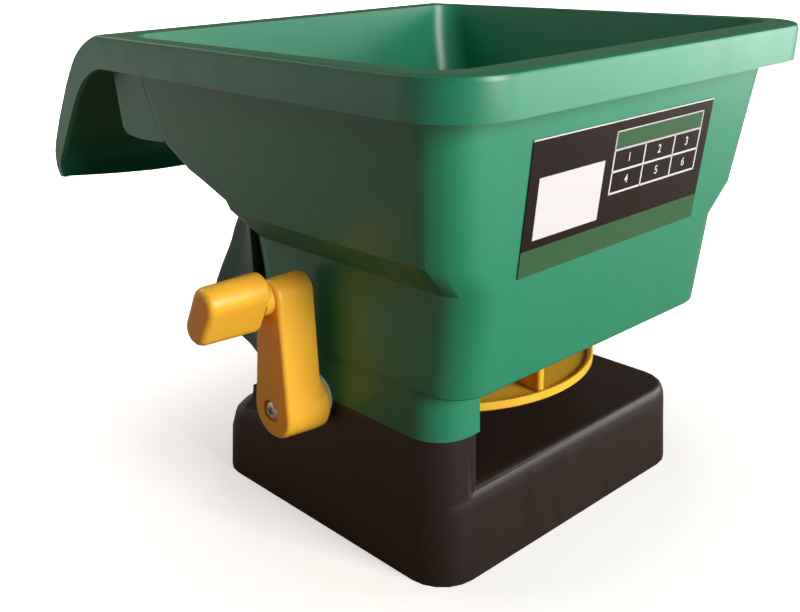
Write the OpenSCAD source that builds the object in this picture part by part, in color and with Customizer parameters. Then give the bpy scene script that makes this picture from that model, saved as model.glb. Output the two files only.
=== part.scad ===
// Handheld rotary spreader: moulded hopper with a curled rear handle, side crank, two-stage gearing
// in the base, vaned throwing disc, agitator and a rotary flow gate under the hopper floor.
// Frame: origin on the disc axis at floor level, throw side -Y, crank side -X, +Z up. Sizes in mm.

/* [Hopper] */
// height of the rim above the floor
top_z = 190; // [186:1:196]
// half width of the rim at the front
rim_front_hw = 101.3; // [99:0.1:104]
// half width of the rim at the rear
rim_rear_hw = 96.4; // [95:0.1:98]
// rim front edge ahead of the disc axis
rim_front = 101.7; // [100:0.1:104]
// depth of the folded rim band
rim_band = 13.4; // [11:0.1:16]
// wall thickness of the hopper moulding
wall = 2.6; // [2.2:0.1:3]
// half width of the lower box
box_hw = 75.7; // [75:0.1:76.5]
// height of the lower edge of the box
box_z = 77.6; // [77:0.1:78.4]
// height at which the side ledge starts
ledge_z = 116.3; // [114:0.1:118]
// half width of the upper walls just over the ledge
upper_hw = 86.4; // [85:0.1:87]
// rear reach of the handle curl behind the disc axis
handle_y = 159.6; // [157:0.1:162]
// thickness of the handle sheet
handle_wall = 2.8; // [2.4:0.1:3.4]

/* [Base] */
// how far the base stands out past the box at the floor
base_over = 0.45; // [0.2:0.05:1.2]
// front of the base ahead of the disc axis
base_front = 68.6; // [68:0.1:71]
// rear of the base behind the disc axis
base_rear = 75.8; // [74:0.1:80]
// height of the deck
deck_z = 36.5; // [36:0.1:37]
// height of the parting line between base and hopper
part_z = 59; // [58.6:0.1:59.4]
// wall thickness of the base moulding
base_wall = 2.8; // [2.4:0.1:3]

/* [Disc] */
// gap between the side wall of the box and the rim of the throwing disc
disc_gap = 15.2; // [14.7:0.1:17]
// height of the underside of the disc plate
disc_z = 53.4; // [53.2:0.1:54]
// thickness of the disc plate
disc_t = 1.8; // [1.6:0.1:2]
// number of throwing vanes
vane_n = 4; // [3:1:6]
// thickness of a vane
vane_t = 3; // [2:0.1:3.4]
// height of the top of the vanes
vane_z = 67.6; // [65:0.1:67.8]
// direction of the first vane
vane_a = -98.5; // [-120:0.5:-80]

/* [Crank] */
// distance from the crank axis to the grip axis
crank_r = 45.8; // [42:0.1:47]
// gap between the wall of the box and the crank arm
arm_gap = 5.3; // [5.1:0.1:6.5]
// width of the crank arm across its length axis
arm_w = 16.4; // [15:0.1:17]
// length of the turning grip
grip_len = 24.6; // [22:0.2:28]
// long side of the oval grip section
grip_long = 24.4; // [22:0.2:26]
// short side of the oval grip section
grip_short = 12.6; // [12.2:0.1:14]
// lean of the grip section at rest
grip_lean = 31; // [0:1:60]

/* [Gears] */
// spur gear module
spur_m = 1.1; // [1.1]
// teeth of the crank gear
crank_teeth = 40; // [40]
// teeth of the layshaft pinion
pinion_teeth = 14; // [14]
// face width of the spur gears
spur_w = 5; // [4:0.5:5]
// teeth of the bevel gear
bevel_teeth = 28; // [28]
// teeth of the bevel pinion
bevel_pinion_teeth = 16; // [16]
// bevel module at the outer end
bevel_m = 1; // [1]
// play left between mating teeth at the pitch line
backlash = 0.3; // [0.24:0.02:0.36]

/* [Gate] */
// step from the rim of the throwing disc in to the rim of the gate plate above it
gate_in = 6.5; // [5:0.5:8]
// thickness of the gate plate
gate_t = 2; // [1.8:0.1:2.2]
// angle of one outlet port
port_deg = 28; // [24:1:28]
// inner radius of the outlet ports
port_r0 = 24; // [22:0.5:26]
// outer radius of the outlet ports
port_r1 = 43; // [40:0.5:44]
// gap between the rear shroud and the knob of the gate lever
knob_gap = 1.7; // [1:0.1:5]
// lever travel from closed to open
gate_travel = 30; // [30]

/* [Label] */
// width of the label
label_w = 103; // [90:0.5:106]
// height of the label
label_h = 46.8; // [40:0.2:48]

/* [Fits] */
// radial running clearance of a shaft in its bush
run_fit = 0.05; // [0.03:0.01:0.08]
// radial clearance of pieces that are pressed or seated together
seat_fit = 0.02; // [0.01:0.01:0.04]
// end play between faces that turn on each other
end_play = 0.3; // [0.2:0.05:0.4]

/* [Hidden] */
$fn = 64;

GREEN = [0.06, 0.34, 0.22];
YELLOW = [0.93, 0.65, 0.13];
BLACK = [0.13, 0.12, 0.12];
STEEL = [0.7, 0.7, 0.72];
NATURAL = [0.88, 0.87, 0.82];

lay_z = part_z - spur_m * (crank_teeth + pinion_teeth) / 2;
crank_pr = spur_m * crank_teeth / 2;
pinion_pr = spur_m * pinion_teeth / 2;
bevel_pr = bevel_m * bevel_teeth / 2;
bpin_pr = bevel_m * bevel_pinion_teeth / 2;
bpin_z = lay_z - bevel_pr;
crank_shaft_r = 4;
lay_r = 2.5;
disc_shaft_r = 3;
base_hw = box_hw + base_over;
arm_x = box_hw + arm_gap + arm_w;
side_in = box_hw - 0.8;
disc_r = box_hw - disc_gap;
gate_r = disc_r - gate_in;
block_x0 = -side_in;
block_x1 = block_x0 + 21.9;
block_y0 = -67;
block_y1 = 46;
gear_x = block_x0 + 4.1;
bush_x = block_x0 - 0.1;
hub_in_x = bush_x - 2.6;
// far end of the crank shaft, layshaft rib planes
shaft_end_x = gear_x + 7.6;
rib_x = [gear_x + 6.6, -25.5];
arc_r = disc_r + 1.8;
dome_r = 21.5;
dome_z = 48.4;
floor_z = 73;
gate_z = floor_z - 0.5 - gate_t;
ret_z = gate_z - 2.1;
grip_cy = -2;
grip_cz = part_z + crank_r;
stem_r = 6.2;
pin_r = 3.4;
pillar = [[box_hw - 14.5, 27.3], [box_hw - 8.9, 2]];
block_screw = [[block_x0 + 8.9, -54], [block_x0 + 10.4, 36]];
foot_screw = [[-44, -58], [44, -58], [52, 58], [-52, 58]];
shroud_wall = 2.4;
lever_a = 75;
// rear face of the shroud at the gate, reach of the gate lever to the middle of its knob
sh_back = 93.5;
lever_r = (sh_back + knob_gap + 9 * cos(lever_a)) / sin(lever_a) + 9;
screw_len = 26;
block_head_z = 46;
pillar_top = box_z - 2;
pillar_head_z = 57;

// one rounded quadrangle ring, front corners at y0 (half width w0), rear corners at y1 (half width w1)
function ring(z, w0, w1, y0, y1, r, rear_r = -1, n = 5) =
  let (
    base = [for (q = [0:3]) for (i = [0:n])
      let (a = 180 + 90 * q + 90 * i / n,
           c = q < 2 || rear_r < 0 ? r : rear_r,
           sx = (q == 0 || q == 3) ? -1 : 1,
           yc = q < 2 ? y0 + c : y1 - c,
           py = yc + c * sin(a),
           w = w0 + (w1 - w0) * (py - y0) / (y1 - y0))
      [sx * (w - c) + c * cos(a), py]],
    mid = [for (k = [1:3]) let (t = k / 4, w = w1 - (rear_r < 0 ? r : rear_r)) [w - 2 * w * t, y1]]
  )
  [for (i = [0:3 * (n + 1) - 1]) [base[i][0], base[i][1], z],
   for (p = mid) [p[0], p[1], z],
   for (i = [3 * (n + 1):4 * (n + 1) - 1]) [base[i][0], base[i][1], z]];

// closed solid through rings that all have the same number of points
module loft(rings) {
  m = len(rings[0]);
  k = len(rings);
  polyhedron(
    points = [for (r = rings) each r],
    faces = [
      [for (i = [0:m - 1]) i],
      for (j = [0:k - 2]) for (i = [0:m - 1])
        [j * m + i, (j + 1) * m + i, (j + 1) * m + (i + 1) % m],
      for (j = [0:k - 2]) for (i = [0:m - 1])
        [j * m + i, (j + 1) * m + (i + 1) % m, j * m + (i + 1) % m],
      [for (i = [m - 1:-1:0]) (k - 1) * m + i]]);
}

// closed wall between matching rows of outer and inner points, open at both ends of the rows
module wall_loft(outer, inner) {
  n = len(outer[0]);
  k = len(outer);
  b = n * k;
  polyhedron(
    points = concat([for (r = outer) each r], [for (r = inner) each r]),
    faces = [
      for (j = [0:k - 2]) for (i = [0:n - 2]) [j * n + i, (j + 1) * n + i, (j + 1) * n + i + 1],
      for (j = [0:k - 2]) for (i = [0:n - 2]) [j * n + i, (j + 1) * n + i + 1, j * n + i + 1],
      for (j = [0:k - 2]) for (i = [0:n - 2]) [b + j * n + i, b + (j + 1) * n + i + 1, b + (j + 1) * n + i],
      for (j = [0:k - 2]) for (i = [0:n - 2]) [b + j * n + i, b + j * n + i + 1, b + (j + 1) * n + i + 1],
      for (i = [0:n - 2]) [i, i + 1, b + i + 1, b + i],
      for (i = [0:n - 2]) [b - n + i, 2 * b - n + i, 2 * b - n + i + 1, b - n + i + 1],
      for (j = [0:k - 2]) [b + j * n, b + (j + 1) * n, (j + 1) * n, j * n],
      for (j = [0:k - 2]) [j * n + n - 1, (j + 1) * n + n - 1, b + (j + 1) * n + n - 1, b + j * n + n - 1]]);
}

// cylinder along +X from x0 to x1 round (y, z)
module xcyl(x0, x1, y, z, r, r2 = -1) {
  translate([x0, y, z]) rotate([0, 90, 0]) cylinder(h = x1 - x0, r1 = r, r2 = r2 < 0 ? r : r2);
}

// vertical cylinder from z0 to z1
module zcyl(x, y, z0, z1, r, r2 = -1) {
  translate([x, y, z0]) cylinder(h = z1 - z0, r1 = r, r2 = r2 < 0 ? r : r2);
}

// profile in the YZ plane extruded along +X from x0 to x1
module xprism(x0, x1) {
  translate([x0, 0, 0]) rotate([90, 0, 90]) linear_extrude(x1 - x0) children();
}

// rounded rectangle in plan
module rrect(x0, y0, x1, y1, r) {
  translate([x0 + r, y0 + r]) offset(r = r) square([x1 - x0 - 2 * r, y1 - y0 - 2 * r]);
}

// sector of an annulus, centred on angle a
module sector(r0, r1, a, w, n = 8) {
  polygon([for (i = [0:n]) r1 * [cos(a - w / 2 + w * i / n), sin(a - w / 2 + w * i / n)],
    for (i = [n:-1:0]) r0 * [cos(a - w / 2 + w * i / n), sin(a - w / 2 + w * i / n)]]);
}

// rear line of the hopper wall by height, measured behind the disc axis
rear_tab = [[70, 38], [101, 38], [112, 40], [118, 41.5], [128.3, 43.4], [131.7, 45.4], [134, 51],
  [137.6, 60], [140.5, 68], [150, 83], [156, 87], [174, 91], [210, 95]];
function rear_y(z) = lookup(z, rear_tab);
front_k = 12.5 / 97.4;
function front_y(z) = -76 - (z - 79.2) * front_k;
function side_w(z) = z <= ledge_z ? box_hw
  : z <= ledge_z + 12 ? box_hw + (upper_hw - box_hw) * (z - ledge_z) / 12
  : upper_hw + (z - ledge_z - 12) * 0.118;

body_zs = [box_z + 1.5, 101, 112, ledge_z, ledge_z + 12, 131.7, 134, 137.6, 140.5, 150, 156, 176.6];

// outer skin of the hopper, grown by g
module hopper_skin(g = 0) {
  loft(concat(
    [ring(box_z - g, box_hw - 1.4 + g, box_hw - 1.4 + g, front_y(box_z) + 1.5 - g, 36.6 + g, 13.3),
     ring(box_z + 0.5 - g, box_hw - 0.5 + g, box_hw - 0.5 + g, front_y(box_z) + 0.5 - g, 37.5 + g, 14.2)],
    [for (z = body_zs) ring(z, side_w(z) + g, side_w(z) + g, front_y(z) - g, rear_y(z) + g, 14.7)],
    [ring(top_z - 3, side_w(top_z - 3) + g, side_w(top_z - 3) + g, front_y(top_z - 3) - g,
      rear_y(top_z - 3) + g, 14.7)]));
}

cav_zs = [ledge_z + 1, ledge_z + 13, 132.7, 135.2, 139.2, 142.4, 151.8, 157, 176.6, top_z + 1.2];

// space inside the hopper
module hopper_cavity() {
  loft(concat(
    [ring(floor_z + 3.6, 47, 47, -47, 34, 30),
     ring(94, box_hw - wall, box_hw - wall, front_y(94) + wall, rear_y(94) - wall, 12.4),
     ring(101, box_hw - wall, box_hw - wall, front_y(101) + wall, rear_y(101) - wall, 12.4)],
    [for (z = cav_zs) ring(z, side_w(z - 1) - wall, side_w(z - 1) - wall, front_y(z) + wall,
      rear_y(z - 1.6) - wall, 12.4)]));
}

// rectangle in plan with one radius per corner, from the front crank side corner on round
function rbox(x0, y0, x1, y1, r, n = 9) =
  let (c = [[x0 + r[0], y0 + r[0]], [x1 - r[1], y0 + r[1]], [x1 - r[2], y1 - r[2]], [x0 + r[3], y1 - r[3]]])
  [for (q = [0:3]) for (i = [0:n]) let (a = 180 + 90 * (q + i / n)) c[q] + r[q] * [cos(a), sin(a)]];

// block on the crank side in plan, inset by g, and by d more at the front and inside, following the disc
module block_plan(g = 0, d = 0) {
  difference() {
    polygon(rbox(block_x0 + g, block_y0 + g + d, block_x1 - g - d, block_y1 - g,
      [14.5 - g, max(0.4, 3 - g), max(0.4, 3 - g), 9.9 - g]));
    circle(arc_r + g, $fn = 96);
  }
}

// outline of the curled handle in the YZ plane, from the rim to the grip edge
handle_out = [[96, top_z - 0.03], [104, top_z - 0.03], [108.5, top_z - 0.7], [112.6, top_z - 1.9],
  [116.1, top_z - 3.3], [119.9, top_z - 5.2], [123.7, top_z - 7.5], [127.3, top_z - 10.2],
  [130.4, top_z - 13.1], [134, top_z - 17.1], [138.6, top_z - 22.5], [144, top_z - 29.9],
  [149.5, top_z - 37.4], [154.6, top_z - 45.2], [157.3, top_z - 49.8], [159, top_z - 53.6],
  [handle_y, top_z - 57.5], [handle_y - 0.2, top_z - 61.5], [handle_y - 1.8, top_z - 65],
  [handle_y - 4.6, top_z - 69], [handle_y - 6.6, top_z - 71.6]];
// width of the side flange at each of these points
flange_w = [13.4, 13.4, 13.3, 13.2, 13, 12.8, 12.4, 12, 11.5, 11, 10.6, 10.2, 9.8, 9.2, 8.6, 7.9, 7.2, 6.2,
  5.2, 4.4, 4];

// open line of points moved by d to its right, or by a list of distances
function inset(pts, d) = let (k = len(pts) - 1) [for (i = [0:k])
  let (t = pts[min(k, i + 1)] - pts[max(0, i - 1)], e = (is_list(d) ? d[i] : d) / norm(t))
  [pts[i][0] + e * t[1], pts[i][1] - e * t[0]]];

// curled rear handle with its side flanges, its outer edges rounded and its grip edge bowed
module handle() {
  hw = rim_rear_hw - 0.05;
  flange = inset(handle_out, flange_w);
  sheet = inset(handle_out, handle_wall);
  // half of the rows: distance from the middle, inset of the outer line, 1 where the flange stands
  side = [[hw, 2, 1], [hw - 0.7, 0.7, 1], [hw - 2.1, 0, 1], [hw - 2.3, 0, 1], [hw - 2.45, 0, 0]];
  rows = concat(side, [for (i = [4:-1:0]) [-side[i][0], side[i][1], side[i][2]]]);
  difference() {
    wall_loft([for (r = rows) [for (p = inset(handle_out, r[1])) [r[0], p[0], p[1]]]],
      [for (r = rows) [for (p = (r[2] == 1 ? flange : sheet)) [r[0], p[0], p[1]]]]);
    difference() {
      translate([-110, 120, top_z - 90]) cube([220, 60, 45]);
      translate([0, 100, top_z - 71.6 + 760]) rotate([-90, 0, 0]) cylinder(h = 80, r = 760, $fn = 360);
    }
  }
}

module hopper() color(GREEN) {
  difference() {
    union() {
      hopper_skin();
      // outlet drum under the floor
      zcyl(0, 0, floor_z, box_z + 1.4, disc_r - 1);
      // skirt of the crank-side block
      translate([0, 0, part_z]) linear_extrude(box_z + 1 - part_z) block_plan();
      // folded rim band
      loft([
        ring(top_z - rim_band, rim_front_hw - 0.4, rim_rear_hw, -rim_front + 0.4, 103, 25, 0.6),
        ring(top_z - 2.2, rim_front_hw, rim_rear_hw, -rim_front, 103, 25, 0.6),
        ring(top_z - 0.7, rim_front_hw - 0.6, rim_rear_hw - 0.6, -rim_front + 0.6, 103, 24.4, 0.5),
        ring(top_z, rim_front_hw - 2, rim_rear_hw - 2, -rim_front + 2, 103, 23, 0.4)]);
      handle();
    }
    hopper_cavity();
    // open channel under the folded rim
    difference() {
      loft([
        ring(top_z - rim_band - 1, rim_front_hw - 3, rim_rear_hw - 2.8, -rim_front + 3, 104, 22.5, 1),
        ring(top_z - 3.4, rim_front_hw - 2.6, rim_rear_hw - 2.8, -rim_front + 2.6, 104, 22.5, 1)]);
      hopper_skin(0.01);
    }
    // outlet ports
    for (a = [-150, -90, -30]) translate([0, 0, floor_z - 1]) linear_extrude(6)
      sector(port_r0, port_r1, a, port_deg);
    // crank gear space and crank bearings on the parting line
    translate([gear_x - 1.2, -27, part_z - 1]) cube([7.6, 54, 26.5]);
    xcyl(bush_x - 1, gear_x, 0, part_z, 6.5 + seat_fit);
    xcyl(gear_x + 6, shaft_end_x + 0.3, 0, part_z, crank_shaft_r + run_fit);
    zcyl(0, 0, 60, 90, 5.5 + seat_fit);
    screw_holes();
    gate_pilots();
    // hollow of the front column, left solid round its screw
    difference() {
      translate([0, 0, part_z - 1]) linear_extrude(box_z - part_z - 2) intersection() {
        block_plan(base_wall);
        translate([block_x0 - 5, -70]) square([40, 38]);
      }
      zcyl(block_screw[0][0], block_screw[0][1], part_z - 2, box_z, 4.4);
    }
  }
  hopper_extras();
}

// pieces of the hopper moulding that are added after its spaces are cut
module hopper_extras() {
  // raised centre of the floor round the shaft bush
  difference() {
    zcyl(0, 0, floor_z + 3, floor_z + 8, 18, 10);
    zcyl(0, 0, floor_z, floor_z + 9, 5.5 + seat_fit);
    gate_pilots();
  }
  // gussets between the rear corners and the underside of the curl
  for (x = [-88.6, 87]) xprism(x, x + 1.6)
    polygon([[85, top_z - 15], [86.5, top_z - 2.6], [105, top_z - 2.6], [108.6, top_z - 12],
      [107.4, top_z - 17], [104.6, top_z - 38], [101.5, top_z - 40.6], [90, top_z - 41.5],
      [72.4, top_z - 40.4], [72.4, top_z - 36]]);
}

// pilot holes of the gate retainer screws
module gate_pilots() {
  for (a = [30, 150, 270]) zcyl(11.5 * cos(a), 11.5 * sin(a), floor_z - 1, floor_z + 5.3, 1 + seat_fit);
}

// pilot holes of the long body screws
module screw_holes() {
  for (p = block_screw) zcyl(p[0], p[1], part_z - 1, block_head_z + screw_len + 1, 1.5 + seat_fit);
  for (p = pillar) zcyl(p[0], p[1], box_z - 1, pillar_head_z + screw_len + 1, 1.5 + seat_fit);
}

// plan of the rear shroud behind the box, ending at reach yy, starting at y0, inset by g
sh_side = [[38, side_in], [44, side_in - 3.6], [50, side_in - 7.2]];
sh_tail = [[57.4, side_in - 10.9], [63.3, side_in - 13.1], [68, side_in - 14.2], [76, side_in - 14.9]];
sh_rc = 4.6;
function sh_half(yy, y0, g) = concat([[side_in - g, y0]],
  [for (p = sh_side) [p[1] - g, p[0]]],
  [for (p = sh_tail) [p[1] - g, 50 + (p[0] - 50) * (yy - sh_rc - 50) / 26]],
  [for (k = [1:4]) let (a = 90 * k / 4)
    [side_in - 14.9 - sh_rc + (sh_rc - g) * cos(a), yy - sh_rc + (sh_rc - g) * sin(a)]]);
function sh_row(z, yy, y0, g) = let (h = sh_half(yy, y0, g), k = len(h))
  concat([for (p = h) [p[0], p[1], z]], [for (i = [k - 1:-1:0]) [-h[i][0], h[i][1], z]]);
module sh_wall(prof, y0) {
  wall_loft([for (p = prof) sh_row(p[0], p[1], y0, 0)], [for (p = prof) sh_row(p[0], p[1], y0, shroud_wall)]);
}
sh_low = [[part_z, sh_back - 2.5], [part_z + 6, sh_back - 0.7], [box_z, sh_back]];
sh_prof = [[box_z, sh_back], [80.2, 92.3], [84.8, 89.3],
  [89.1, 86.5], [93.6, 83.3], [98, 80.1], [102.2, 77.4],
  [108, 74.4], [120, 66.5], [133, 59.4], [141, 58.4]];

module rear_shroud() color(GREEN * 0.86) {
  difference() {
    union() {
      sh_wall(sh_low, -14);
      sh_wall(sh_prof, 37);
    }
    hopper_skin(0.04);
    translate([-90, -20, part_z - 1])
      cube([90 + block_x1 + 0.1, 20 + block_y1 + 0.06, box_z - part_z + 2.04]);
    // slot for the gate lever
    translate([-31.5, sh_back - 23.5, gate_z - 1.2]) cube([63, 30, gate_t + 2.4]);
  }
  // tabs under the box, held by the pillar screws
  difference() {
    for (p = pillar) translate([p[0] - 4.6, p[1] - 5, pillar_top])
      cube([side_in - 1.5 - p[0] + 4.6, 10, box_z - pillar_top]);
    for (p = pillar) zcyl(p[0], p[1], pillar_top - 1, box_z + 1, 1.7);
  }
}

module base_skin() {
  loft([ring(0, base_hw, base_hw, -base_front, base_rear, 16),
    ring(20, base_hw - 1, base_hw - 1, -base_front + 0.9, base_rear - 1.7, 16),
    ring(28, base_hw - 1.4, base_hw - 1.4, -base_front + 1.2, base_rear - 5, 15.8),
    ring(32.3, base_hw - 1.8, base_hw - 1.8, -base_front + 1.7, base_rear - 9.6, 15.4),
    ring(deck_z - 1.6, base_hw - 2.6, base_hw - 2.6, -base_front + 2.6, base_rear - 14.8, 14.6),
    ring(deck_z - 0.5, base_hw - 4, base_hw - 4, -base_front + 3.9, base_rear - 18.6, 13.2),
    ring(deck_z, base_hw - 5.6, base_hw - 5.6, -base_front + 5.5, base_rear - 22, 11.6)]);
}

module base() color(BLACK) {
  difference() {
    union() {
      base_skin();
      translate([0, 0, 10]) linear_extrude(part_z - 10) block_plan(0, 1);
      // fillet from the block down to the rear deck
      xprism(block_x0 + 1.4, block_x1 - 3) polygon([[block_y1 - 3, deck_z - 4], [block_y1 + 8, deck_z - 4],
        [block_y1 + 6.5, deck_z - 0.8], [block_y1 + 3, deck_z + 2.4], [block_y1 + 1.1, deck_z + 6],
        [block_y1 + 0.1, deck_z + 10.5], [block_y1 - 3, deck_z + 10.5]]);
      // gear dome
      rotate_extrude() polygon([[0, deck_z - 3], [dome_r + 1.6, deck_z - 3], [dome_r + 1.6, deck_z + 0.3],
        [dome_r + 0.4, deck_z + 0.9], [dome_r, deck_z + 2.2], [dome_r, dome_z - 2.4],
        [dome_r - 0.7, dome_z - 0.7], [dome_r - 2.4, dome_z], [0, dome_z]]);
      for (p = pillar) zcyl(p[0], p[1], 10, pillar_top, 5);
    }
    // inside of the shell
    loft([ring(-1, base_hw - base_wall, base_hw - base_wall, -base_front + base_wall,
        base_rear - base_wall, 13.2),
      ring(28, base_hw - 1.4 - base_wall, base_hw - 1.4 - base_wall, -base_front + 1.2 + base_wall,
        base_rear - 5 - base_wall, 13),
      ring(deck_z - 3, base_hw - 4.8 - base_wall, base_hw - 4.8 - base_wall, -base_front + 4.4 + base_wall,
        base_rear - 13 - base_wall, 10)]);
    // inside of the dome
    zcyl(0, 0, 20, dome_z - 2.2, dome_r - 2.3);
    // hollow block
    difference() {
      translate([0, 0, 20]) linear_extrude(part_z - 3 - 20) block_plan(base_wall, 1);
      for (p = block_screw) zcyl(p[0], p[1], 19, part_z, 5);
    }
    translate([gear_x - 1.2, -27, 40]) cube([7.6, 54, part_z - 39]);
    xcyl(bush_x - 1, gear_x, 0, part_z, 6.5 + seat_fit);
    xcyl(gear_x + 6, shaft_end_x + 0.3, 0, part_z, crank_shaft_r + run_fit);
    zcyl(0, 0, dome_z - 4, dome_z + 1, 5.5 + seat_fit);
    // room under the deck for the flanges of the layshaft bushes and the hub of the bevel gear
    for (x = rib_x) xcyl(x + 4, x + 6.8, 0, lay_z, 6);
    body_screw_tubes();
  }
  base_inside();
}

// bearing ribs, screw tubes and bosses under the deck
module base_inside() {
  difference() {
    union() {
      for (x = rib_x) translate([x, -7, lay_z - 6]) cube([4, 14, deck_z - 1 - lay_z + 6]);
      // seat of the crank shaft end, closed by the hopper
      intersection() {
        xcyl(gear_x + 6.4, shaft_end_x + 1.2, 0, part_z, 8);
        translate([gear_x, -10, part_z - 10]) cube([10, 20, 10]);
      }
      for (p = foot_screw) zcyl(p[0], p[1], 3, deck_z - 2, 4.5);
      for (p = block_screw) zcyl(p[0], p[1], 3, block_head_z + 3, 5);
      for (p = pillar) zcyl(p[0], p[1], 3, deck_z - 1, 5);
    }
    for (x = rib_x) xcyl(x - 1, x + 5, 0, lay_z, 4.2 + seat_fit);
    xcyl(gear_x + 6, shaft_end_x + 0.3, 0, part_z, crank_shaft_r + run_fit);
    for (p = foot_screw) zcyl(p[0], p[1], 2, 15, 1.5 + seat_fit);
    body_screw_tubes();
  }
}

// clearance for the long body screws and their heads
module body_screw_tubes() {
  for (p = block_screw) {
    zcyl(p[0], p[1], 2, block_head_z, 3.4);
    zcyl(p[0], p[1], block_head_z - 1, part_z + 1, 1.7);
  }
  for (p = pillar) {
    zcyl(p[0], p[1], 2, pillar_head_z, 3.4);
    zcyl(p[0], p[1], pillar_head_z - 1, pillar_top + 1, 1.7);
  }
}

module base_plate() color(BLACK) {
  difference() {
    union() {
      linear_extrude(3) rrect(-base_hw + base_wall + 0.4, -base_front + base_wall + 0.4,
        base_hw - base_wall - 0.4, base_rear - base_wall - 1, 12.8);
      zcyl(0, 0, 2, 8.7, 7);
    }
    zcyl(0, 0, 3.2, 9, 4.6 + seat_fit);
    for (p = foot_screw) {
      zcyl(p[0], p[1], -1, 4, 1.7);
      zcyl(p[0], p[1], -0.01, 1.9, 3.3, 1.7);
    }
  }
}

// screw with its head at z0, shank upwards
module screw(x, y, z0, len, r, head_r, head_h) {
  difference() {
    union() {
      zcyl(x, y, z0, z0 + len - 1.6, r);
      zcyl(x, y, z0 + len - 1.6, z0 + len, r, 0.3);
      zcyl(x, y, z0 - head_h, z0, head_r - 0.7, head_r);
    }
    for (q = [0, 90]) translate([x, y, z0 - head_h - 0.1]) rotate(q) translate([-head_r * 0.62, -0.35, 0])
      cube([head_r * 1.24, 0.7, head_h * 0.7]);
  }
}

module body_screws() color(STEEL) {
  for (p = block_screw) screw(p[0], p[1], block_head_z, screw_len, 1.5, 3.1, 2.2);
  for (p = pillar) screw(p[0], p[1], pillar_head_z, screw_len, 1.5, 3.1, 2.2);
}

module plate_screws() color(STEEL) for (p = foot_screw) difference() {
  union() {
    zcyl(p[0], p[1], 0.2, 1.9, 3.1, 1.5);
    zcyl(p[0], p[1], 1.9, 13, 1.5);
    zcyl(p[0], p[1], 13, 14.4, 1.5, 0.3);
  }
  for (q = [0, 90]) translate([p[0], p[1], -0.1]) rotate(q) translate([-1.9, -0.35, 0]) cube([3.8, 0.7, 1.3]);
}

// outline round two circles in the YZ plane at x, shrunk by d, a points on each arc
function pill(x, c1, r1, c2, r2, d, n = 14) =
  let (v = c2 - c1, th = atan2(v[1], v[0]), a = acos((r1 - r2) / norm(v)))
  concat(
    [for (i = [0:n]) let (t = th - a + 2 * a * i / n)
      [x, c2[0] + (r2 - d) * cos(t), c2[1] + (r2 - d) * sin(t)]],
    [for (i = [0:n]) let (t = th + a + (360 - 2 * a) * i / n)
      [x, c1[0] + (r1 - d) * cos(t), c1[1] + (r1 - d) * sin(t)]]);

arm_in = arm_x - arm_w;
arm_steps = [[-arm_x, 1.7], [-arm_x + 0.35, 0.85], [-arm_x + 1, 0.25], [-arm_x + 2, 0], [-arm_in - 1.6, 0],
  [-arm_in - 0.5, 0.4], [-arm_in, 1.2]];

module crank_arm() color(YELLOW) {
  difference() {
    union() {
      loft([for (s = arm_steps) pill(s[0], [-0.6, part_z - 0.2], 10.7, [-3.6, grip_cz + 0.4], 6.5, s[1])]);
      // boss, flaring towards the wall
      xcyl(-arm_x + 1.6, -arm_in - 1.5, -0.2, part_z - 0.3, 10.8, 12);
      xcyl(-arm_in - 1.5, hub_in_x - 1.2, -0.2, part_z - 0.3, 12);
      xcyl(hub_in_x - 1.2, hub_in_x, -0.2, part_z - 0.3, 12, 11);
      // stem and spindle of the grip
      xcyl(-arm_x - 3.4, -arm_x + 3, grip_cy, grip_cz, stem_r);
      xcyl(-arm_x - 21.5, -arm_x - 3.4, grip_cy, grip_cz, pin_r);
      xcyl(-arm_x - 22.3, -arm_x - 21.5, grip_cy, grip_cz, pin_r - 0.7, pin_r);
    }
    xcyl(-arm_x - 1, -arm_x + 2, 0, part_z, 4.6);
    xcyl(-arm_x + 1, -arm_x + 5, 0, part_z, 1.7);
    d_rod(-arm_x + 3.5, hub_in_x + 1, crank_shaft_r + seat_fit, 3.2 + seat_fit);
  }
}

// rod along X with one flat at y = f
module d_rod(x0, x1, r, f) {
  difference() {
    xcyl(x0, x1, 0, part_z, r);
    translate([x0 - 1, f, part_z - r - 1]) cube([x1 - x0 + 2, r + 1, 2 * r + 2]);
  }
}

module crank_shaft() color(STEEL) difference() {
  union() {
    d_rod(-arm_x + 3.55, hub_in_x + 0.05, crank_shaft_r, 3.2);
    xcyl(hub_in_x + 0.05, gear_x - 0.35, 0, part_z, crank_shaft_r);
    d_rod(gear_x - 0.35, gear_x + spur_w + 0.95, crank_shaft_r, 3.2);
    xcyl(gear_x + spur_w + 0.95, shaft_end_x, 0, part_z, crank_shaft_r);
  }
  xcyl(-arm_x + 3, -arm_x + 14, 0, part_z, 1.5 + seat_fit);
}

module crank_screw() color(STEEL) difference() {
  union() {
    xcyl(-arm_x + 2, -arm_x + 13, 0, part_z, 1.5);
    xcyl(-arm_x + 0.9, -arm_x + 2, 0, part_z, 3.5);
    xcyl(-arm_x + 0.1, -arm_x + 0.9, 0, part_z, 2.3, 3.5);
  }
  for (q = [0, 90]) translate([-arm_x, 0, part_z]) rotate([q + 20, 0, 0])
    translate([-0.1, -1.9, -0.4]) cube([1.3, 3.8, 0.8]);
}

grip_x0 = -arm_x - 3.4 - end_play - grip_len;
grip_steps = [[grip_x0, 2.8, 0], [grip_x0 + 0.4, 1.4, 0], [grip_x0 + 1.2, 0.5, 0], [grip_x0 + 2.6, 0, 0.1],
  [-arm_x - 5, 0, 0.9], [-arm_x - 4.1, 0.2, 0.9], [-arm_x - 3.4 - end_play, 0.8, 0.9]];
lean_v = [-sin(grip_lean), cos(grip_lean)];
g_lo = [grip_cy, grip_cz] - lean_v * (grip_long / 2 - 5.9);
g_hi = [grip_cy, grip_cz] + lean_v * (grip_long / 2 - grip_short / 2);

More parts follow.
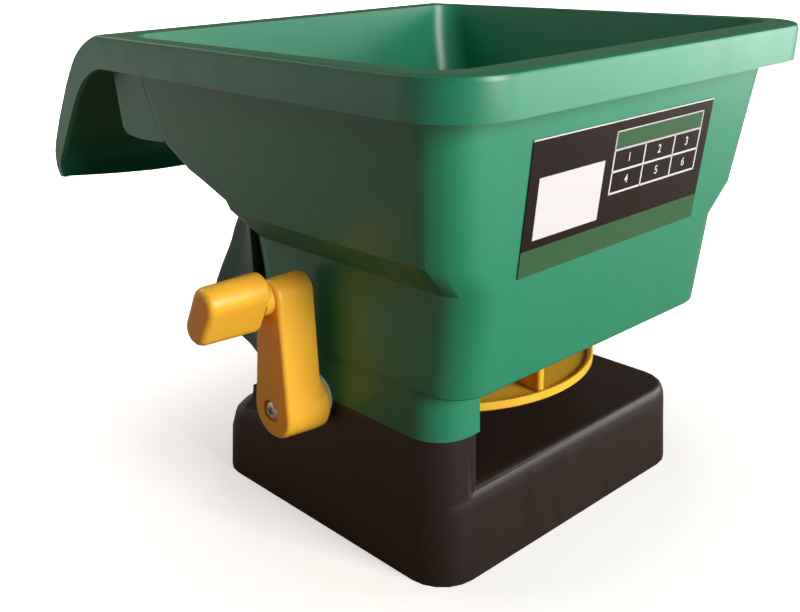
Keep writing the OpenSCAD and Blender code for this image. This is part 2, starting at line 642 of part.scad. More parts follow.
module crank_grip() color(YELLOW) difference() {
  loft([for (s = grip_steps) pill(s[0], g_hi, grip_short / 2, g_lo - lean_v * s[2] * 0.4, 5.9 + s[2], s[1])]);
  xcyl(-arm_x - 22.6, -arm_x - 3, grip_cy, grip_cz, pin_r + run_fit);
}

// ring along X
module xring(x0, x1, r, ri, z = part_z) difference() {
  xcyl(x0, x1, 0, z, r);
  xcyl(x0 - 1, x1 + 1, 0, z, ri);
}

module crank_bush() color(NATURAL) difference() {
  union() {
    xcyl(bush_x - 1.3, bush_x + 0.1, 0, part_z, 9);
    xcyl(bush_x + 0.05, gear_x - 0.6, 0, part_z, 6.5);
  }
  xcyl(bush_x - 5, gear_x, 0, part_z, crank_shaft_r + run_fit);
}

module crank_washer() color(STEEL) xring(bush_x - 2.3, bush_x - 1.3, 8, crank_shaft_r + 0.3);

// outline of a spur gear, tooth centred on angle 0
function inv(a) = tan(a) * 180 / PI - a;
function gear_pts(t, m, add, ded, play) =
  let (
    r = m * t / 2, rb = r * cos(20), ra = r + add, rr = r - ded,
    half = 90 / t - play / 4 / r * 180 / PI,
    rs = [for (k = [0:4]) max(rb, rr + 0.01) + (ra - max(rb, rr + 0.01)) * k / 4],
    th = [for (q = rs) half + inv(20) - inv(acos(min(1, rb / q)))]
  )
  [for (i = [0:t - 1]) let (c = 360 * i / t) each concat(
    [[rr * cos(c - th[0] - 0.3), rr * sin(c - th[0] - 0.3)]],
    [for (k = [0:4]) [rs[k] * cos(c - th[k]), rs[k] * sin(c - th[k])]],
    [for (k = [4:-1:0]) [rs[k] * cos(c + th[k]), rs[k] * sin(c + th[k])]],
    [[rr * cos(c + th[0] + 0.3), rr * sin(c + th[0] + 0.3)]])];

module crank_gear() color(NATURAL) difference() {
  union() {
    translate([0, 0, part_z]) xprism(gear_x, gear_x + spur_w)
      polygon(gear_pts(crank_teeth, spur_m, 0.85 * spur_m, 1.2 * spur_m, backlash));
    xcyl(gear_x - 0.3, gear_x + spur_w + 0.9, 0, part_z, 7);
  }
  d_rod(gear_x - 1, gear_x + spur_w + 2, crank_shaft_r + seat_fit, 3.2 + seat_fit);
  // lightening holes
  for (a = [30:60:330]) xcyl(gear_x - 1, gear_x + spur_w + 1, 13.4 * cos(a), part_z + 13.4 * sin(a), 4);
}

module layshaft() color(STEEL) difference() {
  xcyl(gear_x - 0.6, -5, 0, lay_z, lay_r);
  translate([gear_x - 1.2, 2, lay_z - 4]) cube([6.4, 2, 8]);
}

module layshaft_pinion() color(NATURAL) difference() {
  union() {
    translate([0, 0, lay_z]) xprism(gear_x, gear_x + spur_w) rotate(90 + 180 / pinion_teeth)
      polygon(gear_pts(pinion_teeth, spur_m, 0.9 * spur_m, 1.2 * spur_m, backlash));
    xcyl(gear_x + spur_w, rib_x[0] - end_play, 0, lay_z, 4.1);
  }
  difference() {
    xcyl(gear_x - 4, gear_x + 10, 0, lay_z, lay_r + seat_fit);
    translate([gear_x - 1.2, 2 + seat_fit, lay_z - 4]) cube([6.4 - seat_fit, 2, 8]);
  }
}

module layshaft_bushes() color(NATURAL) for (x = rib_x) difference() {
  union() {
    xcyl(x, x + 4.1, 0, lay_z, 4.2);
    xcyl(x + 4, x + 5, 0, lay_z, 5.6);
  }
  xcyl(x - 1, x + 6, 0, lay_z, lay_r + run_fit);
}

// outline of a bevel gear at its outer end, straight flanked
function bevel_pts(t, r, ra, rr, half, slope) = [for (i = [0:t - 1]) let (c = 360 * i / t) each
  [for (q = [[rr, half + slope * (r - rr)], [ra, half - slope * (ra - r)]]) for (s = [-1])
    [q[0] * cos(c + s * q[1]), q[0] * sin(c + s * q[1])],
   for (q = [[ra, half - slope * (ra - r)], [rr, half + slope * (r - rr)]])
    [q[0] * cos(c + q[1]), q[0] * sin(c + q[1])]]];

cone_g = atan(bevel_pr / bpin_pr);
ra_g = bpin_pr * tan(cone_g + 2.6);
rr_g = bpin_pr * tan(cone_g - 3.6);
ra_p = bevel_pr * tan(90 - cone_g + 2.6);
rr_p = bevel_pr * tan(90 - cone_g - 3.6);
bevel_half_g = 90 / bevel_teeth - backlash / 4 / bevel_pr * 180 / PI - 0.25;
bevel_half_p = 90 / bevel_pinion_teeth - backlash / 4 / bpin_pr * 180 / PI - 0.4;

module bevel_gear() color(NATURAL) difference() {
  union() {
    translate([-bpin_pr, 0, lay_z]) rotate([90, 0, 90]) linear_extrude(2.5, scale = 1 - 2.5 / bpin_pr)
      polygon(bevel_pts(bevel_teeth, bevel_pr, ra_g, rr_g, bevel_half_g, 0.55));
    xcyl(-bpin_pr - 2.5, -bpin_pr + 0.2, 0, lay_z, rr_g - 1.2, rr_g - 0.4);
    xcyl(-20.5 + end_play, -bpin_pr - 2, 0, lay_z, 5);
  }
  xcyl(-30, 0, 0, lay_z, lay_r + seat_fit);
}

module bevel_pinion() color(NATURAL) difference() {
  union() {
    translate([0, 0, bpin_z]) rotate(180 / bevel_pinion_teeth)
      linear_extrude(4.4, scale = 1 - 4.4 / bevel_pr)
      polygon(bevel_pts(bevel_pinion_teeth, bpin_pr, ra_p, rr_p, bevel_half_p, 1.9));
    zcyl(0, 0, 8.7 + end_play, bpin_z + 0.2, 6);
  }
  zcyl(0, 0, 0, 40, disc_shaft_r + seat_fit);
}

// groove of the clip over the disc hub
hub_top = 60;
module disc_shaft() color(STEEL) difference() {
  union() {
    zcyl(0, 0, 3.5, 99, disc_shaft_r);
    zcyl(0, 0, 99, 99.8, disc_shaft_r, disc_shaft_r - 0.8);
  }
  translate([-4, 2.4, 52]) cube([8, 3, hub_top - 52]);
  difference() {
    zcyl(0, 0, hub_top + 0.1, hub_top + 1.1, 5);
    zcyl(0, 0, hub_top, hub_top + 1.2, disc_shaft_r - 0.6);
  }
  translate([0, -6, 90]) rotate([-90, 0, 0]) cylinder(h = 12, r = 1 + seat_fit);
}

// ring round the disc axis
module zring(z0, z1, r, ri) difference() {
  zcyl(0, 0, z0, z1, r);
  zcyl(0, 0, z0 - 1, z1 + 1, ri);
}

module lower_bush() color(NATURAL) difference() {
  zcyl(0, 0, 3.2, 8.7, 4.6);
  zcyl(0, 0, 3.5 - 0.05, 9, disc_shaft_r + run_fit);
}

module deck_bush() color(NATURAL) difference() {
  union() {
    zcyl(0, 0, dome_z - 4, dome_z + 0.1, 5.5);
    zcyl(0, 0, dome_z, dome_z + 1, 8.6);
  }
  zcyl(0, 0, 40, 60, disc_shaft_r + run_fit);
}

module disc_washer() color(STEEL) zring(dome_z + 1, dome_z + 1.8, 7.6, disc_shaft_r + 0.3);

module spreader_disc() color(YELLOW) difference() {
  union() {
    rotate_extrude($fn = 128) polygon([[0, dome_z + 1.8 + end_play],
      [10, dome_z + 1.8 + end_play], [11, disc_z], [disc_r - 0.6, disc_z], [disc_r, disc_z + 0.6],
      [disc_r, disc_z + 3.2], [disc_r - 0.5, disc_z + 3.6], [disc_r - 1.6, disc_z + 3.4],
      [disc_r - 2.6, disc_z + disc_t], [13, disc_z + disc_t], [10.5, hub_top - 1],
      [9.5, hub_top], [0, hub_top]]);
    for (k = [0:vane_n - 1]) rotate(vane_a + k * 360 / vane_n) {
      translate([10, -vane_t / 2, disc_z + 1]) cube([disc_r - 14, vane_t, vane_z - disc_z - 1.6]);
      translate([12, -vane_t / 2 + 0.5, vane_z - 1.5]) cube([disc_r - 16.6, vane_t - 1, 1.5]);
      zcyl(disc_r - 4, 0, disc_z + 1, vane_z - 0.6, vane_t / 2);
      zcyl(disc_r - 4, 0, vane_z - 0.6, vane_z, vane_t / 2, vane_t / 2 - 0.5);
    }
  }
  difference() {
    zcyl(0, 0, 40, 70, disc_shaft_r + seat_fit);
    translate([-5, 2.4 + seat_fit, 52 + seat_fit]) cube([10, 3, 20]);
  }
}

module disc_clip() color(STEEL) difference() {
  zring(hub_top + 0.15, hub_top + 0.95, 5.4, disc_shaft_r - 0.55);
  translate([-2.1, -6, hub_top - 1]) cube([4.2, 6, 4]);
}

module floor_bush() color(NATURAL) difference() {
  union() {
    zcyl(0, 0, gate_z + 0.1, floor_z + 8.05, 5.5);
    zcyl(0, 0, floor_z + 8, floor_z + 9.2, 8);
  }
  zcyl(0, 0, 60, 90, disc_shaft_r + run_fit);
}

module agitator() color(BLACK) difference() {
  union() {
    zcyl(0, 0, 84, 94, 6);
    zcyl(0, 0, 94, 95.5, 6, 4.6);
    for (q = [15, 195]) rotate(q) {
      translate([4, 0, 88.4]) rotate([0, 99, 0]) cylinder(h = 26.5, r = 1.7);
      translate([29.5, 0, 80]) cylinder(h = 8, r = 1.7);
    }
  }
  zcyl(0, 0, 80, 99, disc_shaft_r + seat_fit);
  translate([0, -7, 90]) rotate([-90, 0, 0]) cylinder(h = 14, r = 1 + seat_fit);
}

module agitator_pin() color(STEEL) translate([0, -5.8, 90]) rotate([-90, 0, 0]) cylinder(h = 11.6, r = 1);

module flow_gate() color(BLACK) difference() {
  union() {
    zcyl(0, 0, gate_z, gate_z + gate_t, gate_r);
    rotate(lever_a) translate([gate_r - 4, -5, gate_z]) cube([lever_r - gate_r + 4, 10, gate_t]);
  }
  zcyl(0, 0, gate_z - 1, gate_z + gate_t + 1, 14.5);
  for (a = [-180, -120, -60]) translate([0, 0, gate_z - 1]) linear_extrude(gate_t + 2)
    sector(port_r0 - 0.5, port_r1 + 0.5, a, port_deg);
}

module gate_knob() color(YELLOW) difference() {
  rotate(lever_a) union() {
    translate([lever_r - 9, 0, gate_z + gate_t / 2 - 5]) linear_extrude(10) rrect(0, -9, 15, 9, 5);
    translate([lever_r - 8, 0, gate_z + gate_t / 2 - 6.2]) linear_extrude(12.4) rrect(0, -7.6, 13, 7.6, 4);
  }
  rotate(lever_a) translate([lever_r - 12, -5 - seat_fit, gate_z - seat_fit])
    cube([12 + seat_fit, 10 + 2 * seat_fit, gate_t + 2 * seat_fit]);
}

module gate_retainer() color(NATURAL) difference() {
  union() {
    zcyl(0, 0, gate_z - 0.3, floor_z, 14.5 - run_fit);
    zcyl(0, 0, ret_z, gate_z - 0.1, 18.5);
  }
  zcyl(0, 0, 60, 80, 5.5 + seat_fit);
  for (a = [30, 150, 270]) {
    zcyl(11.5 * cos(a), 11.5 * sin(a), 60, 80, 1.15);
    zcyl(11.5 * cos(a), 11.5 * sin(a), 60, ret_z + 1.5, 2.4);
  }
}

module gate_screws() color(STEEL) for (a = [30, 150, 270])
  screw(11.5 * cos(a), 11.5 * sin(a), ret_z + 1.5, 7.6, 1, 2.2, 1.4);

label_z = 142.2;
module front_label() color([0.1, 0.09, 0.08]) translate([-1.5, front_y(label_z), label_z])
  rotate([atan(front_k), 0, 0]) translate([-label_w / 2, -0.45, -label_h / 2]) cube([label_w, 0.42, label_h]);

hopper();
rear_shroud();
base();
base_plate();
body_screws();
plate_screws();
crank_arm();
crank_screw();
crank_grip();
crank_washer();
crank_bush();
crank_shaft();
crank_gear();
layshaft();
layshaft_bushes();
layshaft_pinion();
bevel_gear();
bevel_pinion();
disc_shaft();
lower_bush();
deck_bush();
floor_bush();
disc_washer();
spreader_disc();
disc_clip();
agitator();
agitator_pin();
flow_gate();
gate_knob();
gate_retainer();
gate_screws();
front_label();
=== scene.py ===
"""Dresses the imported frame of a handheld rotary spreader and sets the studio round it.

Every sub-assembly is a class. It holds the finish of each of its nodes, and its own sizes as
fields. Its methods dress the nodes, and the label's also print on it. Sizes are millimetres in the
frame's own axes: the origin is on the disc axis at floor level, -Y is the throw side, -X the crank
side and +Z is up.
"""

import logging
import math
from dataclasses import dataclass
from enum import Enum
from typing import ClassVar

import bmesh
import bpy
from mathutils import Matrix, Vector


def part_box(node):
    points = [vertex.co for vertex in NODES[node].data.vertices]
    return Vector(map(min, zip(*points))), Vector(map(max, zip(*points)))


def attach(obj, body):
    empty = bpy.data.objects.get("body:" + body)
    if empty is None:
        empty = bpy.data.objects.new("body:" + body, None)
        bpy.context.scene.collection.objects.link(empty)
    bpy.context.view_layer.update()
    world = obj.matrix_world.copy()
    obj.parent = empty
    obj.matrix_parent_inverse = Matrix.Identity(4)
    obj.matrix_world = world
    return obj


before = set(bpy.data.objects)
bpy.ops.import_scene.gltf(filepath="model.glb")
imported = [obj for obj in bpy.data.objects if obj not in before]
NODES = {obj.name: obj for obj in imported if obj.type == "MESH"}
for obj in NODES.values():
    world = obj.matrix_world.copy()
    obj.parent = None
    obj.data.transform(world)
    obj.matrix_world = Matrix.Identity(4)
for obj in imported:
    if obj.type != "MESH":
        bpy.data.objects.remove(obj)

MM = 0.001
# a Mix node has sockets of the same names for each kind of value, so they go by number: its share,
# its two numbers and its two colours go in, and the mixed number or colour comes out
MIX_SHARE = 0
MIX_NUMBERS = (2, 3)
MIX_COLOURS = (6, 7)
MIXED_NUMBER = 0
MIXED_COLOUR = 2
# left, top, right and bottom of a printed field
Sides = tuple[float, float, float, float]
log = logging.getLogger("spreader")


def linear(hex_colour: str) -> tuple[float, float, float, float]:
    """Turns an sRGB hex colour into Blender's linear colour, on the sRGB standard's curve.

    Args:
        hex_colour: a hash and six hex digits.

    Returns:
        Linear red, green and blue, and a full alpha.
    """
    digits = hex_colour.lstrip("#")
    channels = [int(digits[i : i + 2], 16) / 255 for i in (0, 2, 4)]
    lin = [c / 12.92 if c <= 0.04045 else ((c + 0.055) / 1.055) ** 2.4 for c in channels]
    return (lin[0], lin[1], lin[2], 1.0)


def add_node(
    tree: bpy.types.NodeTree,
    kind: str,
    settings: dict[str | int, object] | None = None,
    links: dict[str | int, bpy.types.NodeSocket] | None = None,
) -> bpy.types.Node:
    """Adds one shader node.

    Args:
        tree: the node tree that takes it.
        kind: the node's type name.
        settings: attribute names, or socket names and numbers, with the values they get.
        links: input socket names or numbers, with the output sockets that feed them.

    Returns:
        The new node.
    """
    node = tree.nodes.new(kind)
    for key, value in (settings or {}).items():
        if isinstance(key, str) and hasattr(node, key):
            setattr(node, key, value)
        else:
            node.inputs[key].default_value = value
    for key, source in (links or {}).items():
        tree.links.new(source, node.inputs[key])
    return node


def new_material(name: str) -> tuple[bpy.types.Material, bpy.types.NodeTree, bpy.types.Node]:
    """Makes an empty material with its output node.

    Args:
        name: the finish's name.

    Returns:
        The material, its node tree and its output node.
    """
    material = bpy.data.materials.new(name)
    material.use_nodes = True
    material.node_tree.nodes.clear()
    output = add_node(material.node_tree, "ShaderNodeOutputMaterial")
    return material, material.node_tree, output


@dataclass(frozen=True)
class MouldedPlastic:
    """Injection moulded plastic: even colour, a fine eroded grain and a soft broad gloss."""

    name: str
    colour: str
    flow_colour: str
    roughness: float = 0.36
    # how far the gloss of rubbed and of dull patches departs from that
    glossier: float = 0.04
    duller: float = 0.06
    # spark eroded grain is 0.1 to 0.2 mm wide: drawn about four times as coarse, so that it shows
    grain_mm: float = 0.7
    grain_depth_mm: float = 0.012
    # the melt cools unevenly, so a wall is faintly wavy and its colour drifts
    ripple_mm: float = 24.0
    ripple_depth_mm: float = 0.12
    drift_mm: float = 42.0
    # hands rub the gloss in patches, which are longer than wide and a little aslant
    rub_mm: float = 8.0
    rub_stretch: tuple[float, float, float] = (1.0, 1.0, 0.22)
    rub_turn: tuple[float, float, float] = (0.35, 0.2, 0.0)
    rub_span: tuple[float, float] = (0.3, 0.75)
    ior: float = 1.49
    # light enters the plastic and comes out a little further on, red the furthest
    translucency: float = 0.0
    bleed_mm: float = 3.0
    bleed_reach: tuple[float, float, float] = (1.0, 0.42, 0.1)

    def material(self) -> bpy.types.Material:
        """Builds the material.

        Returns:
            The plastic, with a slow drift of colour, mould grain, faint waves and rubbed patches.
        """
        material, tree, output = new_material(self.name)
        place = add_node(tree, "ShaderNodeTexCoord").outputs["Object"]
        drift = add_node(
            tree,
            "ShaderNodeTexNoise",
            {"Scale": 1 / (self.drift_mm * MM), "Detail": 3.0, "Roughness": 0.55},
            {"Vector": place},
        )
        colours = dict(zip(MIX_COLOURS, (linear(self.colour), linear(self.flow_colour))))
        tint = add_node(
            tree,
            "ShaderNodeMix",
            {"data_type": "RGBA", **colours},
            {MIX_SHARE: drift.outputs["Fac"]},
        )
        streaks = add_node(
            tree,
            "ShaderNodeMapping",
            {"Scale": self.rub_stretch, "Rotation": self.rub_turn},
            {"Vector": place},
        )
        rub = add_node(
            tree,
            "ShaderNodeTexNoise",
            {"Scale": 1 / (self.rub_mm * MM), "Detail": 5.0, "Roughness": 0.62},
            {"Vector": streaks.outputs["Vector"]},
        )
        gloss = add_node(
            tree,
            "ShaderNodeMapRange",
            {
                "From Min": self.rub_span[0],
                "From Max": self.rub_span[1],
                "To Min": self.roughness - self.glossier,
                "To Max": self.roughness + self.duller,
            },
            {"Value": rub.outputs["Fac"]},
        )
        ripple = add_node(
            tree,
            "ShaderNodeTexNoise",
            {"Scale": 1 / (self.ripple_mm * MM), "Detail": 1.0, "Roughness": 0.4},
            {"Vector": place},
        )
        waves = add_node(
            tree,
            "ShaderNodeBump",
            {"Strength": 1.0, "Distance": self.ripple_depth_mm * MM},
            {"Height": ripple.outputs["Fac"]},
        )
        grain = add_node(
            tree,
            "ShaderNodeTexNoise",
            {"Scale": 1 / (self.grain_mm * MM), "Detail": 2.0, "Roughness": 0.5},
            {"Vector": place},
        )
        bump = add_node(
            tree,
            "ShaderNodeBump",
            {"Strength": 1.0, "Distance": self.grain_depth_mm * MM},
            {"Height": grain.outputs["Fac"], "Normal": waves.outputs["Normal"]},
        )
        shader = add_node(
            tree,
            "ShaderNodeBsdfPrincipled",
            {
                "IOR": self.ior,
                "Subsurface Weight": self.translucency,
                "Subsurface Scale": self.bleed_mm * MM,
                "Subsurface Radius": self.bleed_reach,
            },
            {
                "Base Color": tint.outputs[MIXED_COLOUR],
                "Roughness": gloss.outputs["Result"],
                "Normal": bump.outputs["Normal"],
            },
        )
        tree.links.new(shader.outputs["BSDF"], output.inputs["Surface"])
        return material


@dataclass(frozen=True)
class TurnedSteel:
    """Zinc plated or bright drawn steel: pale grey, its gloss finely broken by lathe or bath."""

    name: str
    colour: str
    roughness: float
    # how far the gloss of the marks departs from that
    glossier: float = 0.08
    duller: float = 0.1
    # turning marks are about 0.05 mm apart: drawn ten times as coarse, so that they show
    mark_mm: float = 0.5
    mark_depth_mm: float = 0.006
    mark_span: tuple[float, float] = (0.3, 0.7)

    def material(self) -> bpy.types.Material:
        """Builds the material.

        Returns:
            The steel, with its marks in roughness and bump.
        """
        material, tree, output = new_material(self.name)
        place = add_node(tree, "ShaderNodeTexCoord").outputs["Object"]
        marks = add_node(
            tree,
            "ShaderNodeTexNoise",
            {"Scale": 1 / (self.mark_mm * MM), "Detail": 3.0},
            {"Vector": place},
        )
        tone = add_node(
            tree,
            "ShaderNodeMapRange",
            {
                "From Min": self.mark_span[0],
                "From Max": self.mark_span[1],
                "To Min": self.roughness - self.glossier,
                "To Max": self.roughness + self.duller,
            },
            {"Value": marks.outputs["Fac"]},
        )
        bump = add_node(
            tree,
            "ShaderNodeBump",
            {"Strength": 1.0, "Distance": self.mark_depth_mm * MM},
            {"Height": marks.outputs["Fac"]},
        )
        shader = add_node(
            tree,
            "ShaderNodeBsdfPrincipled",
            {"Base Color": linear(self.colour), "Metallic": 1.0},
            {"Roughness": tone.outputs["Result"], "Normal": bump.outputs["Normal"]},
        )
        tree.links.new(shader.outputs["BSDF"], output.inputs["Surface"])
        return material


@dataclass(frozen=True)
class PrintedFilm:
    """Laminated vinyl film or the ink on it: a flat colour broken by the print's dots."""

    name: str
    colour: str
    dot_colour: str
    roughness: float = 0.22
    # how far the gloss departs from that where the film lies unevenly
    glossier: float = 0.04
    duller: float = 0.06
    # a printing screen has dots 0.15 mm apart: drawn twice as coarse
    dot_mm: float = 0.3
    # rubbed down by hand, the film lifts a little here and there
    lift_mm: float = 14.0
    lift_depth_mm: float = 0.02
    # below vinyl's real 1.5, so that the print stays as dark as in the photograph
    ior: float = 1.3

    def material(self) -> bpy.types.Material:
        """Builds the material.

        Returns:
            The film, with the print's dots and its own faint unevenness.
        """
        material, tree, output = new_material(self.name)
        place = add_node(tree, "ShaderNodeTexCoord").outputs["Object"]
        dots = add_node(
            tree,
            "ShaderNodeTexNoise",
            {"Scale": 1 / (self.dot_mm * MM), "Detail": 1.0},
            {"Vector": place},
        )
        colours = dict(zip(MIX_COLOURS, (linear(self.colour), linear(self.dot_colour))))
        ink = add_node(
            tree,
            "ShaderNodeMix",
            {"data_type": "RGBA", **colours},
            {MIX_SHARE: dots.outputs["Fac"]},
        )
        lift = add_node(
            tree,
            "ShaderNodeTexNoise",
            {"Scale": 1 / (self.lift_mm * MM), "Detail": 2.0},
            {"Vector": place},
        )
        bump = add_node(
            tree,
            "ShaderNodeBump",
            {"Strength": 1.0, "Distance": self.lift_depth_mm * MM},
            {"Height": lift.outputs["Fac"]},
        )
        gloss = add_node(
            tree,
            "ShaderNodeMapRange",
            {"To Min": self.roughness - self.glossier, "To Max": self.roughness + self.duller},
            {"Value": lift.outputs["Fac"]},
        )
        shader = add_node(
            tree,
            "ShaderNodeBsdfPrincipled",
            {"IOR": self.ior},
            {
                "Base Color": ink.outputs[MIXED_COLOUR],
                "Roughness": gloss.outputs["Result"],
                "Normal": bump.outputs["Normal"],
            },
        )
        tree.links.new(shader.outputs["BSDF"], output.inputs["Surface"])
        return material


class Slot(Enum):
    """The record's material slots."""

    GREEN = "green_plastic"
    DARK_GREEN = "dark_green_plastic"
    BLACK = "black_plastic"
    YELLOW = "yellow_plastic"
    NATURAL = "natural_plastic"
    ZINC = "zinc_steel"
    BRIGHT = "bright_steel"
    LABEL = "label_film"


class Ink(Enum):
    """The printing inks on the label, in the order of its mesh's materials."""

    WHITE = "white printing ink"
    GREEN = "green printing ink"


FINISHES: dict[Slot, MouldedPlastic | TurnedSteel | PrintedFilm] = {
    Slot.GREEN: MouldedPlastic("green moulded polypropylene", "#1a7c5d", "#1d8262"),
    # a darker copy of the hopper's green, as painted shade on the housing behind it; duller and
    # less reflective than polypropylene is, to match the photograph's shaded side
    Slot.DARK_GREEN: MouldedPlastic(
        "green moulded polypropylene darkened as painted shade", "#125540", "#155c45", roughness=0.48, ior=1.34
    ),
    Slot.BLACK: MouldedPlastic(
        "charcoal moulded polypropylene",
        "#1b1514",
        "#211a19",
        roughness=0.4,
        grain_depth_mm=0.02,
        ior=1.45,
    ),
    # the light that a yellow wall lets in leaves its shaded faces orange
    Slot.YELLOW: MouldedPlastic(
        "yellow moulded polypropylene",
        "#fdbd36",
        "#fdc13e",
        roughness=0.32,
        translucency=0.4,
        bleed_mm=7.0,
    ),
    Slot.NATURAL: MouldedPlastic(
        "natural moulded acetal", "#d9d5c6", "#e2dfd2", roughness=0.34, translucency=0.1
    ),
    Slot.ZINC: TurnedSteel("zinc plated steel", "#c3c4c6", roughness=0.28),
    Slot.BRIGHT: TurnedSteel("bright drawn steel", "#cfd0d2", roughness=0.22),
    Slot.LABEL: PrintedFilm("black printed vinyl film", "#150f0e", "#1a1311"),
}
SKINS: dict[Slot, bpy.types.Material] = {
    slot: finish.material() for slot, finish in FINISHES.items()
}
INKS: dict[Ink, bpy.types.Material] = {
    Ink.WHITE: PrintedFilm(Ink.WHITE.value, "#cbccd1", "#d6d7db").material(),
    Ink.GREEN: PrintedFilm(Ink.GREEN.value, "#30593a", "#355f3f").material(),
}


@dataclass(frozen=True)
class Finish:
    """What a node of the frame is dressed in, and how round moulding or tumbling left its edges."""

    slot: Slot
    edge_mm: float
    edge_steps: int = 2
    # an edge is rounded where its two faces turn by more than this
    sharp_deg: float = 34.0
    # points closer than this are one, and faces that turn by less than this are one plane
    weld_mm: float = 0.002
    plane_deg: float = 0.6
    # at 50 a face weighs by its area alone, so flat walls stay flat up to their rounded edges
    area_weight: int = 50


class SubAssembly:
    """A group of pieces that are made and finished together."""

    title: ClassVar[str]
    pieces: ClassVar[dict[str, Finish]]

    def build(self) -> None:
        """Finishes the sub-assembly's nodes."""
        for name, finish in self.pieces.items():
            self.finish_node(name, finish)

    def finish_node(self, name: str, finish: Finish) -> None:
        """Dresses a node of the frame and rounds its edges.

        Args:
            name: the node's name.
            finish: its material slot and its edges.
        """
        obj = NODES[name]
        obj.data.materials.clear()
        obj.data.materials.append(SKINS[finish.slot])
        weld = obj.modifiers.new("weld", "WELD")
        weld.merge_threshold = finish.weld_mm * MM
        flat = obj.modifiers.new("planes", "DECIMATE")
        flat.decimate_type = "DISSOLVE"
        flat.angle_limit = math.radians(finish.plane_deg)
        bevel = obj.modifiers.new("edges", "BEVEL")
        bevel.width = finish.edge_mm * MM
        bevel.segments = finish.edge_steps
        bevel.limit_method = "ANGLE"
        bevel.angle_limit = math.radians(finish.sharp_deg)
        bevel.use_clamp_overlap = True
        even = obj.modifiers.new("shading", "WEIGHTED_NORMAL")
        even.mode = "FACE_AREA"
        even.weight = finish.area_weight
        obj.data.shade_smooth()
        self.report(name, f"{finish.slot.value}, edges {finish.edge_mm:.2f} mm")

    def report(self, name: str, words: str) -> None:
        """Logs one finished piece."""
        log.info("%s: %s: %s", self.title, name, words)


class HopperShell(SubAssembly):
    """The green hopper, the housing behind it in a green darkened as painted shade, and the screws
    that hold both to the base.
    """

    title = "hopper"
    pieces = {
        "hopper": Finish(Slot.GREEN, 0.5),
        "rear_shroud": Finish(Slot.DARK_GREEN, 0.5),
        "body_screws": Finish(Slot.ZINC, 0.15),
    }


